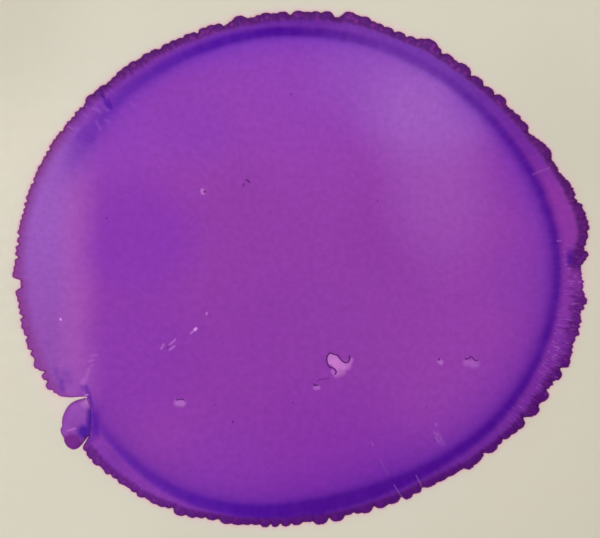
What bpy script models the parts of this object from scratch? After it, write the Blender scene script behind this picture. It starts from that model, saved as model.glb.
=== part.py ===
"""Salon hair colour bowl.

A wide one-piece bowl with a tab handle, a soft non-slip pad bonded inside its
foot ring, and a thin pool of violet hair colour lying on its flat floor.

Units are metres and +Z is up. The origin is on the bowl's axis, on the face
that it rests on. The handle points along +X.
"""

import math

import bmesh
import bpy

MM = 0.001

# Points of a profile or outline nearer than this are one point
WELD = 0.01 * MM

# Bowl
HEIGHT = 46.0 * MM
FLOOR_RADIUS = 44.0 * MM
FLOOR_TOP = 5.5 * MM
WALL = 2.2 * MM
WALL_LEAN = 28.0
CORNER_RADIUS = 10.0 * MM
BEAD_RADIUS = 2.1 * MM
BEAD_END_ANGLE = -100.0
BEAD_BLEND = 3.6 * MM
FOOT_OUTER = 48.0 * MM
FOOT_INNER = 45.0 * MM
FOOT_BOTTOM = 1.2 * MM
FOOT_EDGE = 0.5 * MM
TURN_STEPS = 72
CORNER_STEPS = 6
BEAD_STEPS = 8

# Filling marks: low rings round the inside of the wall
MARK_LEVELS = (18.0 * MM, 26.0 * MM, 34.0 * MM)
MARK_HEIGHT = 1.2 * MM
MARK_RISE = 0.35 * MM

# Handle
HANDLE_END = 117.0 * MM
HANDLE_HALF_WIDTH = 14.0 * MM
HANDLE_FILLET = 9.0 * MM
HANDLE_THICKNESS = 3.0 * MM
HANDLE_EDGE = 0.7 * MM
HANDLE_ARC_STEPS = 12
HANG_HOLE_RADIUS = 5.5 * MM
HANG_HOLE_X = 105.0 * MM
HANG_HOLE_POINTS = 24
WEB_THICKNESS = 2.6 * MM
WEB_EDGE = 0.3 * MM
WEB_END_X = 98.0 * MM
WEB_LOW_Z = 23.0 * MM
WEB_STEPS = 8
GRIP_BAR_X = (83.0 * MM, 87.0 * MM, 91.0 * MM)
GRIP_BAR_LENGTH = 18.0 * MM
GRIP_BAR_WIDTH = 1.6 * MM
GRIP_BAR_RISE = 0.5 * MM
GRIP_BAR_EDGE = 0.3 * MM

# Non-slip pad
CLEARANCE = 0.3 * MM
PAD_RADIUS = 44.6 * MM
PAD_EDGE = 0.6 * MM
GROOVE_RADII = (38.0 * MM, 31.0 * MM, 24.0 * MM, 17.0 * MM)
GROOVE_WIDTH = 1.6 * MM
GROOVE_DEPTH = 0.7 * MM
GROOVE_TAPER = 0.2 * MM
PAD_STEPS = 60

# Pool of hair colour
FILM_RADIUS = 28.2 * MM
FILM_THICKNESS = 0.9 * MM
FILM_EDGE = 0.3 * MM
# Waves per turn, height and phase in degrees of the pool's slow outline
FILM_WAVES = (
    (1, 0.47 * MM, 206.0),
    (2, 1.56 * MM, 11.0),
    (3, 0.51 * MM, -24.0),
    (4, 0.26 * MM, -62.0),
    (5, 0.13 * MM, 63.0),
)
LOBES = 84
LOBE_HEIGHT = 0.55 * MM
POINTS_PER_LOBE = 4

# Loose lobe at the pool's edge, and the cleft that it lies in
FLAP_X = -23.4 * MM
FLAP_Y = -16.3 * MM
FLAP_HALF_WIDTH = 1.6 * MM
FLAP_HALF_LENGTH = 2.5 * MM
FLAP_THICKNESS = 0.7 * MM
FLAP_SEGMENTS = 28
CLEFT_ANGLE = 214.6
CLEFT_HALF_ANGLE = 6.4
CLEFT_RADIUS = 26.4 * MM

UNDERSIDE = FLOOR_TOP - WALL
FILM_BOTTOM = FLOOR_TOP + CLEARANCE


def clear_scene():
    """Remove every object that the file opened with."""
    for obj in list(bpy.data.objects):
        bpy.data.objects.remove(obj, do_unlink=True)


def new_collection(name):
    collection = bpy.data.collections.new(name)
    bpy.context.scene.collection.children.link(collection)
    return collection


def principled(name, colour, roughness):
    """A non-metallic Principled material."""
    material = bpy.data.materials.new(name)
    material.use_nodes = True
    shader = material.node_tree.nodes["Principled BSDF"]
    shader.inputs["Base Color"].default_value = (*colour, 1.0)
    shader.inputs["Roughness"].default_value = roughness
    shader.inputs["Metallic"].default_value = 0.0
    material.diffuse_color = (*colour, 1.0)
    return material


def add_object(name, data, collection):
    obj = bpy.data.objects.new(name, data)
    collection.objects.link(obj)
    return obj


def as_guide(obj):
    """Mark an object as construction only."""
    obj.hide_render = True
    obj.display_type = 'WIRE'
    return obj


def arc(centre, radius, start, end, count):
    """Points along an arc between two angles in degrees, ends included."""
    points = []
    for i in range(count + 1):
        angle = math.radians(start + (end - start) * i / count)
        x = centre[0] + radius * math.cos(angle)
        y = centre[1] + radius * math.sin(angle)
        points.append((x, y))
    return points


def turned(name, profile, steps, collection, material):
    """Turn an open profile of (radius, height) points about Z."""
    mesh = bpy.data.meshes.new(name)
    verts = [(radius, 0.0, height) for radius, height in profile]
    edges = [(i, i + 1) for i in range(len(profile) - 1)]
    mesh.from_pydata(verts, edges, [])
    mesh.materials.append(material)
    obj = add_object(name, mesh, collection)
    screw = obj.modifiers.new("turn", 'SCREW')
    screw.axis = 'Z'
    screw.steps = steps
    screw.render_steps = steps
    screw.use_merge_vertices = True
    screw.merge_threshold = WELD
    screw.use_smooth_shade = True
    return obj


def union(obj, other, name):
    boolean = obj.modifiers.new(name, 'BOOLEAN')
    boolean.operation = 'UNION'
    boolean.solver = 'EXACT'
    boolean.object = other


def inner_radius(height):
    """Radius of the wall's straight inner face at a height."""
    lean = math.radians(WALL_LEAN)
    foot_radius = FLOOR_RADIUS + CORNER_RADIUS * math.cos(lean)
    foot_height = FLOOR_TOP + CORNER_RADIUS * (1.0 - math.sin(lean))
    return foot_radius + (height - foot_height) * math.tan(lean)


def bead_centre():
    """Centre of the rim bead's round section, flush with the inner face."""
    lean = math.radians(WALL_LEAN)
    height = HEIGHT - BEAD_RADIUS
    touch_height = height + BEAD_RADIUS * math.sin(lean)
    radius = inner_radius(touch_height) + BEAD_RADIUS * math.cos(lean)
    return radius, height


def inner_profile():
    """Floor, corner, and wall with its filling marks, from the axis out."""
    corner = (FLOOR_RADIUS, FLOOR_TOP + CORNER_RADIUS)
    points = [(0.0, FLOOR_TOP), (FLOOR_RADIUS / 2, FLOOR_TOP)]
    points += arc(corner, CORNER_RADIUS, -90.0, -WALL_LEAN, CORNER_STEPS)
    for level in MARK_LEVELS:
        low = level - MARK_HEIGHT / 2
        high = level + MARK_HEIGHT / 2
        points.append((inner_radius(low), low))
        points.append((inner_radius(level) - MARK_RISE, level))
        points.append((inner_radius(high), high))
    return points


def outer_profile():
    """Wall, corner, foot ring and underside, from the rim in to the axis."""
    lean = math.radians(WALL_LEAN)
    rim_radius, rim_height = bead_centre()
    step_out = WALL - BEAD_RADIUS
    wall_top_radius = rim_radius + step_out * math.cos(lean) - BEAD_BLEND * math.sin(lean)
    wall_top_height = rim_height - step_out * math.sin(lean) - BEAD_BLEND * math.cos(lean)
    corner = (FLOOR_RADIUS, FLOOR_TOP + CORNER_RADIUS)
    outer_corner = CORNER_RADIUS + WALL
    foot_angle = -math.degrees(math.acos((FOOT_OUTER - FLOOR_RADIUS) / outer_corner))
    points = [(wall_top_radius, wall_top_height)]
    points += arc(corner, outer_corner, -WALL_LEAN, foot_angle, CORNER_STEPS)
    points.append((FOOT_OUTER, FOOT_BOTTOM + FOOT_EDGE))
    points.append((FOOT_OUTER - FOOT_EDGE, FOOT_BOTTOM))
    points.append((FOOT_INNER + FOOT_EDGE, FOOT_BOTTOM))
    points.append((FOOT_INNER, FOOT_BOTTOM + FOOT_EDGE))
    points.append((FOOT_INNER, UNDERSIDE))
    points.append((FLOOR_RADIUS / 2, UNDERSIDE))
    points.append((0.0, UNDERSIDE))
    return points


def shell_profile():
    bead = arc(bead_centre(), BEAD_RADIUS, 180.0 - WALL_LEAN, BEAD_END_ANGLE, BEAD_STEPS)
    return inner_profile() + bead + outer_profile()


def handle_outline():
    """Plan of the handle: rounded end, straight sides, flared root."""
    root_radius, _ = bead_centre()
    rim_radius = root_radius + BEAD_RADIUS
    end_centre = (HANDLE_END - HANDLE_HALF_WIDTH, 0.0)
    fillet_y = HANDLE_HALF_WIDTH + HANDLE_FILLET
    fillet_x = math.sqrt((rim_radius + HANDLE_FILLET) ** 2 - fillet_y ** 2)
    root_angle = math.degrees(math.atan2(fillet_y, fillet_x))
    upper = arc((fillet_x, fillet_y), HANDLE_FILLET, -90.0, root_angle - 180.0, HANDLE_ARC_STEPS // 2)
    lower = [(x, -y) for x, y in reversed(upper)]
    points = arc(end_centre, HANDLE_HALF_WIDTH, -90.0, 90.0, HANDLE_ARC_STEPS)
    points += upper
    points += arc((0.0, 0.0), root_radius, root_angle, -root_angle, HANDLE_ARC_STEPS)
    points += lower
    return points


def flat_plate(name, outlines, thickness, edge, collection):
    """A plate in the XY plane from closed outlines, as a welded mesh."""
    curve = bpy.data.curves.new(name + "_outline", 'CURVE')
    curve.dimensions = '2D'
    curve.fill_mode = 'BOTH'
    curve.extrude = thickness / 2 - edge
    curve.bevel_depth = edge
    curve.bevel_resolution = 1
    curve.offset = -edge
    for outline in outlines:
        spline = curve.splines.new('POLY')
        spline.points.add(len(outline) - 1)
        for point, (x, y) in zip(spline.points, outline):
            point.co = (x, y, 0.0, 1.0)
        spline.use_cyclic_u = True
    source = add_object(name + "_outline", curve, collection)
    depsgraph = bpy.context.evaluated_depsgraph_get()
    mesh = bpy.data.meshes.new_from_object(source.evaluated_get(depsgraph))
    bpy.data.objects.remove(source, do_unlink=True)
    welded = bmesh.new()
    welded.from_mesh(mesh)
    bmesh.ops.remove_doubles(welded, verts=welded.verts, dist=WELD)
    bmesh.ops.recalc_face_normals(welded, faces=welded.faces)
    welded.to_mesh(mesh)
    welded.free()
    mesh.name = name
    return add_object(name, mesh, collection)


def handle_plate(collection):
    _, bead_height = bead_centre()
    last = 360.0 / HANG_HOLE_POINTS
    hole = arc((HANG_HOLE_X, 0.0), HANG_HOLE_RADIUS, 360.0, last, HANG_HOLE_POINTS - 1)
    plate = flat_plate("handle_plate", [handle_outline(), hole], HANDLE_THICKNESS, HANDLE_EDGE, collection)
    plate.location.z = bead_height
    return as_guide(plate)


def handle_web(collection):
    """Stiffening web under the handle, from the wall to past its middle."""
    _, top = bead_centre()
    wall_middle = 0.5 * WALL / math.cos(math.radians(WALL_LEAN))
    outline = [(inner_radius(top) + wall_middle, top)]
    outline.append((inner_radius(WEB_LOW_Z) + wall_middle, WEB_LOW_Z))
    start_x = inner_radius(WEB_LOW_Z) + 2.0 * wall_middle
    for i in range(WEB_STEPS + 1):
        along = i / WEB_STEPS
        x = start_x + (WEB_END_X - start_x) * along
        z = WEB_LOW_Z + (top - WEB_LOW_Z) * (1.0 - (1.0 - along) ** 2)
        outline.append((x, z))
    web = flat_plate("handle_web", [outline], WEB_THICKNESS, WEB_EDGE, collection)
    web.rotation_euler.x = math.radians(90.0)
    return as_guide(web)


def grip_bar(index, x, collection):
    """One raised bar for the thumb, across the top of the handle."""
    _, bead_height = bead_centre()
    top = bead_height + HANDLE_THICKNESS / 2 + GRIP_BAR_RISE
    depth = 2.0 * GRIP_BAR_RISE
    mesh = bpy.data.meshes.new(f"grip_bar_{index}")
    bar = bmesh.new()
    bmesh.ops.create_cube(bar, size=1.0)
    bmesh.ops.scale(bar, vec=(GRIP_BAR_WIDTH, GRIP_BAR_LENGTH, depth), verts=bar.verts)
    bmesh.ops.translate(bar, vec=(x, 0.0, top - depth / 2), verts=bar.verts)
    bar.to_mesh(mesh)
    bar.free()
    obj = add_object(f"grip_bar_{index}", mesh, collection)
    bevel = obj.modifiers.new("edges", 'BEVEL')
    bevel.width = GRIP_BAR_EDGE
    bevel.segments = 1
    return as_guide(obj)


def bowl_shell(parts, guides, material):
    """The whole moulding: turned bowl, handle, web and thumb bars."""
    shell = turned("bowl_shell", shell_profile(), TURN_STEPS, parts, material)
    union(shell, handle_plate(guides), "handle")
    union(shell, handle_web(guides), "web")
    for index, x in enumerate(GRIP_BAR_X):
        union(shell, grip_bar(index, x, guides), f"grip_bar_{index}")
    return shell


def base_pad(parts, material):
    """Soft disc inside the foot ring, grooved underneath."""
    top = UNDERSIDE - CLEARANCE
    profile = [(0.0, top), (PAD_RADIUS / 2, top), (PAD_RADIUS, top)]
    profile.append((PAD_RADIUS, PAD_EDGE))
    profile.append((PAD_RADIUS - PAD_EDGE, 0.0))
    for radius in GROOVE_RADII:
        outer = radius + GROOVE_WIDTH / 2
        inner = radius - GROOVE_WIDTH / 2
        profile.append((outer, 0.0))
        profile.append((outer - GROOVE_TAPER, GROOVE_DEPTH))
        profile.append((inner + GROOVE_TAPER, GROOVE_DEPTH))
        profile.append((inner, 0.0))
    profile.append((0.0, 0.0))
    return turned("base_pad", profile, PAD_STEPS, parts, material)


def film_radius(angle):
    """Distance of the pool's lobed edge from the axis, angle in radians."""
    radius = FILM_RADIUS
    for waves, height, phase in FILM_WAVES:
        radius += height * math.cos(waves * angle - math.radians(phase))
    from_cleft = abs(math.degrees(angle) - CLEFT_ANGLE)
    if from_cleft < CLEFT_HALF_ANGLE:
        return CLEFT_RADIUS
    lobe = abs(math.sin(angle * LOBES / 2)) - 2.0 / math.pi
    return radius + LOBE_HEIGHT * lobe


def raise_solid(bm, bottom, thickness, edge):
    """Thicken a flat sheet upwards and take its top edge in."""
    bmesh.ops.translate(bm, vec=(0.0, 0.0, bottom), verts=bm.verts)
    raised = bmesh.ops.extrude_face_region(bm, geom=bm.faces[:], use_keep_orig=True)
    top = [item for item in raised["geom"] if isinstance(item, bmesh.types.BMVert)]
    bmesh.ops.translate(bm, vec=(0.0, 0.0, thickness - edge), verts=top)
    faces = [item for item in raised["geom"] if isinstance(item, bmesh.types.BMFace)]
    crowned = bmesh.ops.extrude_face_region(bm, geom=faces)
    crown = [item for item in crowned["geom"] if isinstance(item, bmesh.types.BMVert)]
    bmesh.ops.delete(bm, geom=faces, context='FACES_ONLY')
    bmesh.ops.translate(bm, vec=(0.0, 0.0, edge), verts=crown)
    bmesh.ops.recalc_face_normals(bm, faces=bm.faces)
    return crown


def colour_film(parts, material):
    """The pool: a thin disc with a lobed edge and a rounded top."""
    bm = bmesh.new()
    count = LOBES * POINTS_PER_LOBE
    bmesh.ops.create_circle(bm, cap_ends=True, cap_tris=True, segments=count, radius=FILM_RADIUS)
    for vert in bm.verts:
        if vert.co.length > FILM_RADIUS / 2:
            angle = math.atan2(vert.co.y, vert.co.x) % (2.0 * math.pi)
            radius = film_radius(angle)
            vert.co.x = radius * math.cos(angle)
            vert.co.y = radius * math.sin(angle)
    crown = raise_solid(bm, FILM_BOTTOM, FILM_THICKNESS, FILM_EDGE)
    shrink = 1.0 - FILM_EDGE / FILM_RADIUS
    bmesh.ops.scale(bm, vec=(shrink, shrink, 1.0), verts=crown)
    mesh = bpy.data.meshes.new("colour_film")
    bm.to_mesh(mesh)
    bm.free()
    mesh.materials.append(material)
    return add_object("colour_film", mesh, parts)


def colour_flap(parts, material):
    """The loose lobe, an oval lying in the cleft."""
    bm = bmesh.new()
    bmesh.ops.create_circle(bm, cap_ends=True, cap_tris=True, segments=FLAP_SEGMENTS, radius=1.0)
    bmesh.ops.scale(bm, vec=(FLAP_HALF_WIDTH, FLAP_HALF_LENGTH, 1.0), verts=bm.verts)
    crown = raise_solid(bm, FILM_BOTTOM, FLAP_THICKNESS, FILM_EDGE)
    shrink = 1.0 - FILM_EDGE / FLAP_HALF_WIDTH
    bmesh.ops.scale(bm, vec=(shrink, shrink, 1.0), verts=crown)
    bmesh.ops.translate(bm, vec=(FLAP_X, FLAP_Y, 0.0), verts=bm.verts)
    mesh = bpy.data.meshes.new("colour_flap")
    bm.to_mesh(mesh)
    bm.free()
    mesh.materials.append(material)
    return add_object("colour_flap", mesh, parts)


def main():
    clear_scene()
    parts = new_collection("hair_color_bowl")
    guides = new_collection("guides")
    ivory = principled("ivory_polypropylene", (0.80, 0.74, 0.60), 0.42)
    rubber = principled("pad_rubber", (0.055, 0.045, 0.06), 0.75)
    violet = principled("violet_colour", (0.25, 0.045, 0.36), 0.35)
    lavender = principled("lavender_colour", (0.30, 0.08, 0.42), 0.35)
    bowl_shell(parts, guides, ivory)
    base_pad(parts, rubber)
    colour_film(parts, violet)
    colour_flap(parts, lavender)


main()
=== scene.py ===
import math

import bmesh
import bpy
import numpy as np
from mathutils import Matrix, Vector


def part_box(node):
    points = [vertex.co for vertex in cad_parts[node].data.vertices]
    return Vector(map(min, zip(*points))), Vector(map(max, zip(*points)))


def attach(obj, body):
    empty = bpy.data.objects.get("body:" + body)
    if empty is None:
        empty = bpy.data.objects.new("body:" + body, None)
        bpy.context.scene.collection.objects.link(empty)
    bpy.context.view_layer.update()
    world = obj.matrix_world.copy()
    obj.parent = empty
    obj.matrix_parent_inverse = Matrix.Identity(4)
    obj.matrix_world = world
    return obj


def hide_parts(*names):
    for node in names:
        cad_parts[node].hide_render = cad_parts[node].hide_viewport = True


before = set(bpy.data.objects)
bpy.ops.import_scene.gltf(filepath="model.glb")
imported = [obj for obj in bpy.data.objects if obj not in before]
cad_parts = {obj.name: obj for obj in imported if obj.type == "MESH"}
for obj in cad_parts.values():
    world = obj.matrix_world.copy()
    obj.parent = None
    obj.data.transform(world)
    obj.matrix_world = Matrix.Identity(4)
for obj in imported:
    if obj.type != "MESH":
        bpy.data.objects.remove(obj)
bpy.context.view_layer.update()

# A cream salon tint bowl with a thin pool of violet hair colour on its floor,
# looked at from straight above. Metres, +Z up, the handle along +X.

MM = 0.001
SEED = 859

# ---- bowl sizes
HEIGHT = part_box("bowl_shell")[1].z
FLOOR_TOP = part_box("colour_film")[0].z - 0.3 * MM
FLOOR_RADIUS = 44 * MM
WALL = 2.2 * MM
WALL_LEAN = 28
LEAN = math.radians(WALL_LEAN)
CORNER_RADIUS = 10 * MM
BEAD_RADIUS = 2.1 * MM
BEAD_END_ANGLE = -96
BEAD_BLEND = 3.6 * MM
FOOT_OUTER = 48 * MM
FOOT_INNER = 45 * MM
FOOT_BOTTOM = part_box("bowl_shell")[0].z
FOOT_EDGE = 0.6 * MM
UNDERSIDE = FLOOR_TOP - WALL
MARK_LEVELS = (18 * MM, 26 * MM, 34 * MM)
MARK_HEIGHT = 1.3 * MM
MARK_RISE = 0.35 * MM
MARK_STEPS = 8
HANDLE_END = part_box("bowl_shell")[1].x
HANDLE_HALF_WIDTH = 14 * MM
HANDLE_FILLET = 9 * MM
HANDLE_THICKNESS = 3 * MM
HANDLE_EDGE = 1 * MM
HANG_HOLE_RADIUS = 5.5 * MM
HANG_HOLE_X = 105 * MM
WEB_THICKNESS = 2.6 * MM
WEB_EDGE = 0.3 * MM
WEB_END_X = 98 * MM
WEB_LOW_Z = 23 * MM
WEB_STEPS = 24
GRIP_BAR_X = (83 * MM, 87 * MM, 91 * MM)
GRIP_BAR_HALF_LENGTH = 8.2 * MM
GRIP_BAR_RADIUS = 0.8 * MM
GRIP_BAR_RISE = 0.5 * MM
GRIP_BAR_STEPS = 6
TURN_STEPS = 240
CURVE_WELD = 0.01 * MM
WELD_REACH = 0.002 * MM

# ---- pad sizes
PAD_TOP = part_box("base_pad")[1].z
PAD_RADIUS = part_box("base_pad")[1].x
PAD_EDGE = 0.6 * MM
GROOVE_RADII = (38 * MM, 31 * MM, 24 * MM, 17 * MM)
GROOVE_HALF_WIDTH = 0.8 * MM
GROOVE_DEPTH = 0.7 * MM
GROOVE_STEPS = 12
PAD_STEPS = 180

# ---- pool sizes
# Waves per turn, height and phase in degrees of the pool's slow outline
FILM_RADIUS = 28.2 * MM
FILM_WAVES = (
    (1, 0.47 * MM, 206),
    (2, 1.56 * MM, 11),
    (3, 0.51 * MM, -24),
    (4, 0.26 * MM, -62),
    (5, 0.13 * MM, 63),
)
FILM_STEPS = 1500
FILM_LIFT = 0.02 * MM

# From here on, lengths inside the pool are in mm
FILM_THICKNESS = 0.38
LEAST_THICKNESS = 0.02
CROWN_POWER = 1.6
FILM_RAMP = 0.42
FLAP_RAMP = 0.45
RIM_RISE = 0.1
GROOVE_DROP = 0.08
BAND_RISE = 0.06
MID_DROP = 0.04
# Width of the painted light along the outer edge of the film and the loose lobe, in mm
PAINTED_EDGE_LIGHT_WIDTH = 0.11
RIM_RAGGEDNESS = 0.3
RIM_FOLLOWS = 0.22
# Rings of the mesh from the edge inwards
FINE_DEPTH, FINE_RINGS = 1.6, 24
MIDDLE_DEPTH, MIDDLE_RINGS = 5.5, 22
INNER_SPAN, INNER_RINGS, INNER_POWER = 19.3, 12, 1.3
# Masks of the pool, in the order that its material takes them
FILM_MASKS = ("band", "wash", "rim", "outline", "groove", "bead", "mid", "warm", "streak", "painted_edge_light")

# Lobes of the edge: angle and half width in degrees, and the rise of the
# lobe's top over the slow outline in mm
LOBES = (
    (1.2, 0.8, -0.52), (2, 0.7, -0.2), (2.75, 0.8, 0.08), (3.7, 0.5, -0.3), (5.2, 0.9, -0.03),
    (6.6, 1, 0.32), (8.7, 1.6, 0.66), (10.6, 1.3, 0.62), (12.3, 1.1, 0.54), (13.7, 0.7, 0.17),
    (15.9, 1.5, 0.33), (17.5, 1, 0.2), (19, 0.9, -0.06), (20.3, 0.8, -0.2), (21.5, 0.8, -0.22),
    (22.8, 0.8, -0.25), (25.3, 1.7, 0.1), (26.9, 1, 0), (28.2, 0.8, -0.24), (29.5, 0.7, -0.4),
    (30.6, 0.6, -0.58), (32.6, 1.4, -0.18), (34.8, 1.2, -0.16), (36.6, 1, -0.24), (38.2, 0.9, -0.32),
    (40.2, 1.5, 0.07), (43.3, 1.5, -0.13), (46.7, 1.8, -0.04), (50.8, 2.1, 0.2), (53.2, 0.9, 0),
    (55, 1.6, 0.15), (58, 1.1, 0.2), (60, 1.9, 0.56), (61.9, 1, 0.2), (64, 1.4, -0.06),
    (66.9, 1.4, -0.12), (69.7, 1.4, -0.12), (72, 1.1, -0.07), (73.6, 1, -0.04), (75.4, 1.3, 0.22),
    (77.2, 1.1, 0.15), (79, 1.6, 0.33), (80.5, 0.6, -0.12), (82.2, 0.5, -0.45), (84.1, 1.5, 0.03),
    (86.6, 1.3, -0.07), (88.6, 1.1, -0.14), (90.6, 1.5, -0.06), (94.2, 1.5, -0.06), (96.3, 1, -0.12),
    (98, 1.3, 0.03), (99.7, 0.9, -0.1), (101.3, 0.9, -0.2), (102.8, 0.8, -0.1), (104, 1.5, 0.22),
    (105.8, 0.9, -0.15), (107, 0.7, -0.35), (109, 1.1, 0), (110.7, 1.1, 0.1), (112.5, 1.1, 0.08),
    (114.8, 0.9, 0), (116.2, 1, 0.07), (118, 1, 0), (119.6, 0.9, 0.05), (121.4, 1.1, 0.05),
    (122.8, 0.6, -0.2), (124.2, 1.1, 0.12), (126.2, 1.2, 0.15), (128, 0.9, 0), (129.6, 1.1, 0.15),
    (131.4, 1, 0.12), (132.9, 0.9, 0.08), (134.6, 1, -0.08), (136.1, 0.8, -0.15), (137.9, 1.1, 0.03),
    (139.3, 0.8, 0), (141.2, 1.2, 0.12), (178.7, 0.7, 0.12), (180, 0.7, 0.25), (181.4, 0.8, 0.36),
    (183.3, 0.9, -0.45), (185.1, 0.8, 0.15), (197.7, 0.6, -0.08), (198.9, 0.6, -0.25), (200.2, 0.8, 0),
    (201.2, 0.6, -0.35), (203, 0.85, -0.36), (205.1, 0.85, -0.33), (206.5, 0.5, -0.75),
    (207.8, 0.7, -0.95), (219.9, 0.7, -0.05), (221.6, 1, 0.12), (223.4, 1, 0.15), (225.3, 0.9, -0.05),
    (226.5, 0.7, 0.05), (228.1, 0.8, -0.1), (230, 1, -0.02), (231.5, 0.7, -0.15), (232.9, 0.9, -0.05),
    (234.7, 0.9, 0.07), (236.3, 0.7, -0.1), (237.7, 0.9, 0.03), (239.3, 0.9, 0.03), (240.8, 0.9, -0.15),
    (241.7, 0.5, -0.35), (243.6, 1.4, 0.15), (246.1, 1.1, 0), (247.9, 1, -0.2), (250.3, 1.3, -0.24),
    (253.6, 1.5, -0.1), (256, 1.5, -0.1), (258, 1.2, -0.2), (260, 1.2, -0.24), (262.1, 1, 0),
    (264.3, 0.9, 0), (266.7, 1.1, 0), (269.1, 1.2, 0), (271, 0.9, -0.24), (272.1, 0.6, -0.18),
    (274.5, 1.7, 0.22), (278.3, 1.7, 0.2), (281, 1.3, -0.22), (283.4, 1.2, -0.12), (285.2, 1.5, 0.04),
    (288.9, 1.7, 0), (291.7, 1.8, -0.03), (295.1, 1.2, 0.05), (297.5, 1.2, -0.12), (301, 2.1, -0.2),
    (303.8, 2.1, -0.22), (306.4, 2.1, -0.22), (308.3, 1.3, -0.24), (310.4, 1.1, 0.16), (312.1, 1.3, 0.05),
    (313.5, 0.9, -0.12), (316.6, 1.7, 0.03), (318.4, 1.2, -0.15), (320.9, 1.2, -0.08), (322.6, 1.3, 0),
    (324.3, 1.4, 0.1), (326.8, 0.4, -0.3), (328.3, 1.4, 0.28), (330.2, 0.9, -0.15), (332.1, 1.2, 0.14),
    (334.1, 0.6, -0.35), (335.1, 0.6, -0.2), (337.2, 1.2, 0.08), (338.9, 0.4, -0.4), (340.2, 1.2, 0.25),
    (342.2, 1, 0.08), (343.9, 0.8, -0.1), (345.3, 0.8, -0.15), (346.7, 0.6, 0.05), (348, 0.6, -0.1),
    (349.4, 0.8, -0.1), (350.7, 0.5, -0.35), (352, 0.7, -0.05), (353.3, 0.9, 0.06), (354.7, 0.7, -0.2),
    (356, 0.6, -0.45), (357.3, 0.8, -0.45), (358.5, 0.7, -0.6), (359.7, 0.8, -0.72),
)
# Stretches of even small teeth: first and last angle, pitch in degrees, rise in mm at both ends
TEETH = (
    (142.8, 170.8, 1.25, -0.14, -0.03), (171.4, 178.2, 1.45, 0.06, 0.12), (186.4, 197.2, 1.5, 0.09, 0),
)
# Steps of the whole edge outwards: angle, and step in mm
EDGE_STEP = {
    0: 0, 5: 0, 90: 0, 98: -0.05, 105: -0.05, 120: -0.05, 140: -0.03, 155: 0, 215: 0.03, 228: 0.17,
    239: 0.12, 246: 0.14, 260: 0.15, 272: 0.13, 285: 0.21, 300: 0.15, 315: 0.14, 330: 0.13, 345: 0.05,
}
# How jagged the edge is: angle, and size in mm
JAGS = {
    0: 0.085, 12: 0.08, 30: 0.045, 60: 0.022, 120: 0.022, 150: 0.03, 180: 0.03, 205: 0.04, 225: 0.025,
    300: 0.025, 322: 0.05, 340: 0.085,
}
LOBE_LIFT = 0.04
LOBE_WIDENING = 1.06
LOBE_STEEPNESS = 0.4
LOBE_ROUNDNESS = 2.4
LOBE_REACH = 2.4
TEETH_OVERLAP = 0.475
TEETH_SCATTER = (-0.06, 0.06)
PITCH_SCATTER = (0.85, 1.15)
VALLEY_RIM = 0.3
VALLEY_DEPTH = 0.35
# Floor of the valleys between lobes: angle, and rise in mm
VALLEYS = {
    0: -0.75, 3: -0.5, 14: -0.3, 30: -0.66, 40: -0.4, 180: -0.42, 197: -0.55, 198: -0.74, 206: -0.9,
    209: -1.3, 215: -0.45, 284: -0.4, 294: -0.4, 330: -0.5, 356: -0.72,
}
# Edge beside the loose lobe, where the pool is torn: angle, and radius in mm
TEAR = {
    207.3: 28.75, 208.2: 28.43, 209.4: 27.56, 210.3: 26.65, 211: 26.08, 212.2: 26.17, 213.6: 26.33,
    215: 26.66, 216.3: 27.08, 217.3: 27.6, 218.3: 28.2, 218.8: 28.75, 219.2: 29.35,
}
TEAR_REACH = 6
# The seam where the pool and the loose lobe stand against each other, by angle
SEAM_FROM, SEAM_TO = 211.2, 218.3
SEAM_MIDDLE, SEAM_SPREAD, SEAM_STRENGTH = 216.4, 3, 0.7
SEAM_WALL = 0.012

# The blue-violet band inside the edge, by angle: depth, half width of its core, how far
# it fades inwards and outwards in mm, and strength, 0 to 1
BAND_DEPTH = {
    0: 3.27, 15: 3.11, 25: 2.9, 33: 2.72, 42: 2.45, 52: 2.34, 80: 2.4, 90: 2.32, 100: 2.13, 120: 2,
    135: 2.15, 150: 2.9, 200: 3.4, 218: 2.9, 230: 2.45, 240: 2, 250: 1.7, 262: 1.55, 275: 1.6, 290: 1.83,
    300: 1.93, 310: 2.05, 320: 2.22, 330: 2.6, 345: 3.12,
}
BAND_CORE = {
    0: 0.12, 40: 0.15, 60: 0.2, 80: 0.22, 92: 0.26, 120: 0.25, 150: 0.3, 220: 0.2, 240: 0.3, 258: 0.45,
    272: 0.6, 290: 0.4, 305: 0.22, 335: 0.12,
}
BAND_INSIDE = {
    0: 0.75, 25: 0.72, 40: 0.62, 52: 0.34, 75: 0.35, 92: 0.38, 105: 0.34, 120: 0.45, 135: 0.6, 150: 1,
    220: 0.45, 245: 0.5, 270: 0.5, 300: 0.55, 335: 0.7,
}
BAND_OUTSIDE = {
    0: 0.55, 20: 0.65, 45: 0.85, 62: 0.9, 90: 0.65, 120: 0.7, 150: 1, 220: 0.25, 245: 0.45, 262: 0.75,
    280: 1, 300: 1.05, 312: 0.9, 325: 0.75, 345: 0.6,
}
BAND_STRENGTH = {
    0: 0.8, 20: 0.86, 36: 0.8, 50: 0.62, 60: 0.52, 70: 0.55, 80: 0.74, 92: 0.98, 108: 0.92, 122: 0.72,
    135: 0.55, 147: 0.42, 153: 0.25, 162: 0, 208: 0, 213: 0.1, 220: 0.48, 228: 0.62, 235: 0.68, 245: 0.78,
    255: 0.95, 265: 1, 310: 1, 330: 0.95, 345: 0.85,
}
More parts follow.
